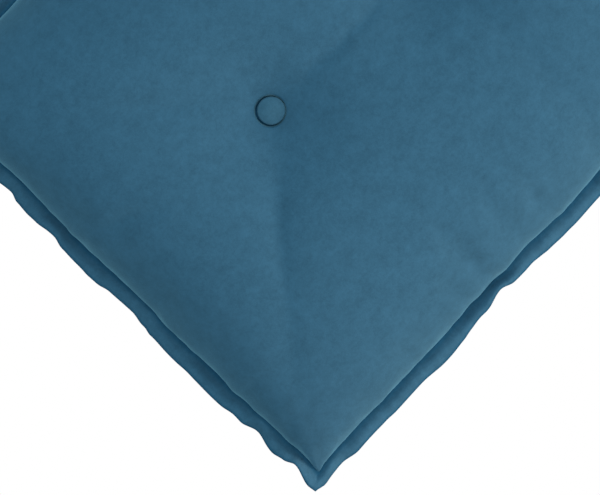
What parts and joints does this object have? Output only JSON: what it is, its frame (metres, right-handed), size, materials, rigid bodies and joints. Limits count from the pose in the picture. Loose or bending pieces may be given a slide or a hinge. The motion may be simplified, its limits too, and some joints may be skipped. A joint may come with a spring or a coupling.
{
  "type": "back cushion",
  "caption": "Rectangular velvet back cushion with a domed front, tufted covered buttons and a wavy flange outside its seam.",
  "frame": {"origin": "on the surface that the cushion lies on, under the middle of its outline", "axes": "+X along the long sides, +Y along the short sides, +Z out of the tufted front face"},
  "size_m": [0.603, 0.501, 0.1203],
  "materials": {
    "velvet_face": "short-pile velvet, teal blue, softly mottled",
    "velvet_flange": "short-pile velvet, teal blue, double layer",
    "velvet_button": "short-pile velvet, teal blue, stretched over a button"
  },
  "bodies": {
    "root": {"cushion": "velvet_face", "flange": "velvet_flange", "button_left": "velvet_button", "button_right": "velvet_button"}
  },
  "joints": []
}
